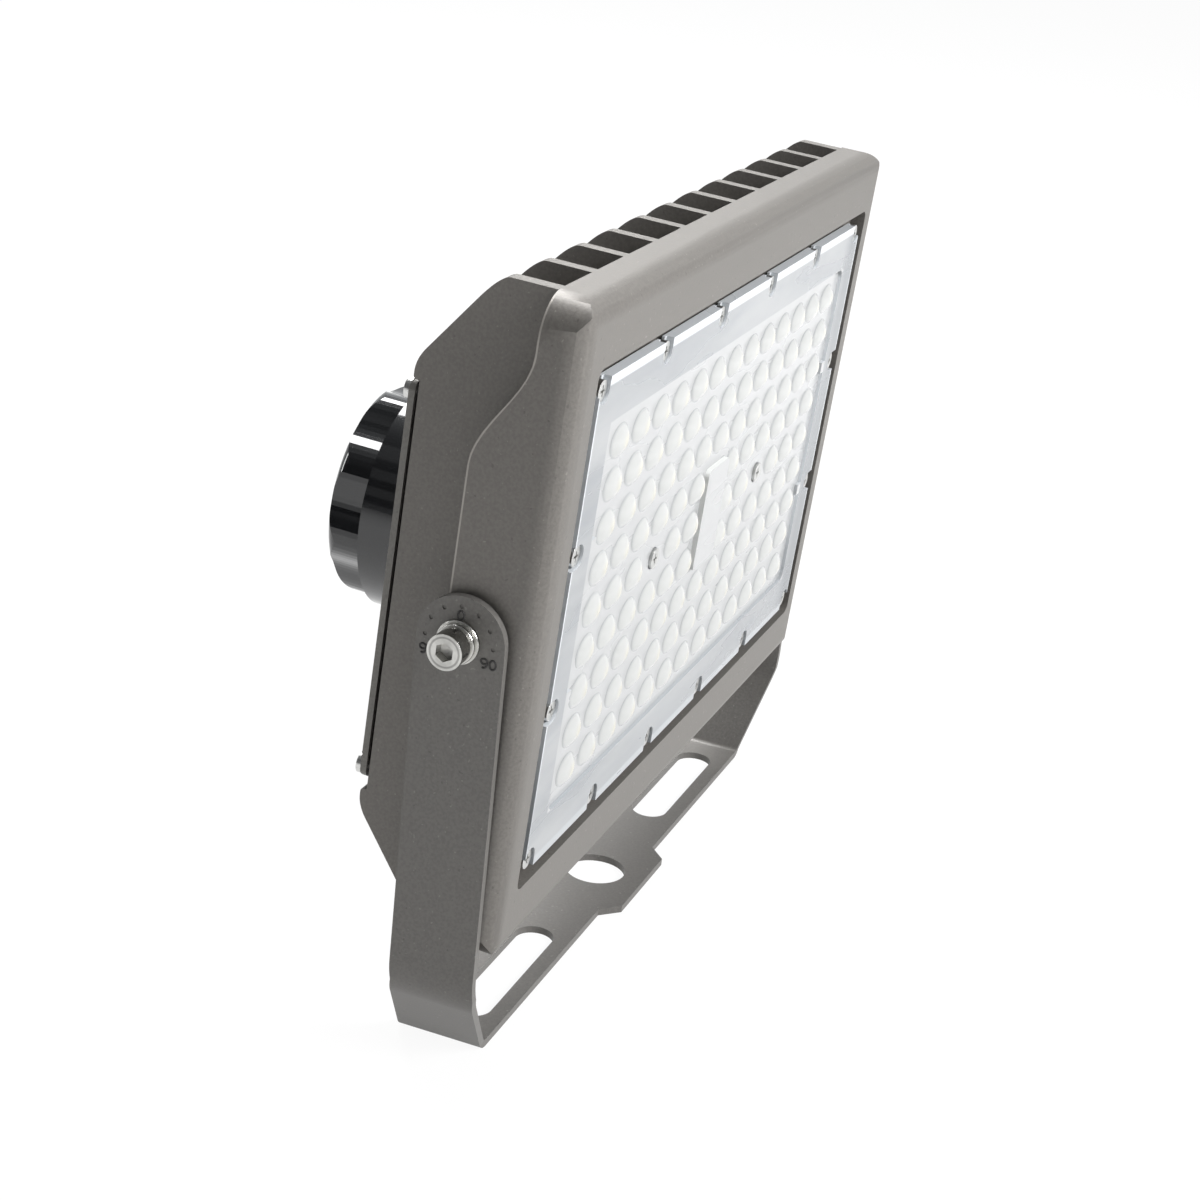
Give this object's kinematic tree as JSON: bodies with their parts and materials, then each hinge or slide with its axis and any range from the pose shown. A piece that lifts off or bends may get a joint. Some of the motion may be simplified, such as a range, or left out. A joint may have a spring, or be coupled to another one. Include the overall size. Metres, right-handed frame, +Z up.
{
  "type": "led flood light",
  "caption": "Rectangular LED flood light: finned cast head with a panel of domed lenslets, tilting in a U bracket, with a twist-lock cap and a cable gland on its back.",
  "frame": {"origin": "centre of the foot's round hole, on the foot's underside", "axes": "+X along the foot, to the right as seen from the front; +Y from the front of the light to its back; +Z up"},
  "size_m": [0.3894, 0.1238, 0.2972],
  "materials": {
    "powder_coat": "fine satin powder coat",
    "cast_coat": "cast, with a fine satin powder coat",
    "clear_lens": "clear moulded plastic",
    "board_white": "white board",
    "led": "yellow phosphor",
    "pad_grey": "soft pad",
    "seal": "soft rubber",
    "steel": "bright",
    "driver_metal": "plain sheet",
    "circuit": "green board",
    "winding": "taped winding",
    "black_part": "gloss",
    "black_matte": "matt",
    "cream": "matt",
    "contact_metal": "bright",
    "blue_part": "matt",
    "wire_red": "matt",
    "wire_grey": "matt",
    "wire_brown": "matt",
    "wire_green": "matt",
    "spacer_white": "matt"
  },
  "bodies": {
    "bracket": {"bracket": "powder_coat"},
    "head": {"housing": "cast_coat", "lens_panel": "clear_lens", "lens_gasket": "seal", "lens_screws": "steel", "lens_centre_screws": "steel", "led_board": "board_white", "led_chips": "led", "board_screws": "steel", "board_connector": "cream", "thermal_pad": "pad_grey", "led_leads": "wire_red", "lead_grommet": "seal", "rear_cover": "cast_coat", "rear_cover_gasket": "seal", "rear_cover_screws": "steel", "driver_case": "driver_metal", "driver_lid": "driver_metal", "driver_board": "circuit", "driver_transformer": "winding", "driver_capacitors": "black_part", "driver_screws": "steel", "terminal_block": "cream", "terminal_screws": "contact_metal", "surge_protector": "blue_part", "surge_wires": "wire_grey", "mains_wires": "wire_brown", "socket_wires": "wire_grey", "earth_wire": "wire_green", "earth_screw": "contact_metal", "cable_gland_body": "black_matte", "cable_gland_seal": "seal", "cable_gland_insert": "seal", "cable_gland_nut": "black_matte", "cable_gland_locknut": "black_matte", "vent_plug": "black_matte", "vent_seal": "seal", "vent_nut": "steel", "socket_body": "black_part", "socket_gasket": "seal", "socket_contacts": "contact_metal", "socket_screws": "steel", "pivot_bolts": "steel", "pivot_spring_washers": "steel", "pivot_flat_washers": "steel", "pivot_spacers": "spacer_white"},
    "cap": {"control_cap": "black_part", "cap_base": "black_matte", "cap_blades": "contact_metal", "cap_link": "contact_metal", "cap_gasket": "seal"}
  },
  "joints": [
    {"name": "head_tilt", "type": "hinge", "parent": "bracket", "child": "head", "pos_m": [0, -0.004, 0.175], "axis": [1, 0, 0], "range_deg": [-93, 87]},
    {"name": "cap_twist", "type": "hinge", "parent": "head", "child": "cap", "pos_m": [-0.07, 0.0692, 0.17884], "axis": [0, 0.9986, 0.0523], "range_deg": [0, 30]}
  ]
}
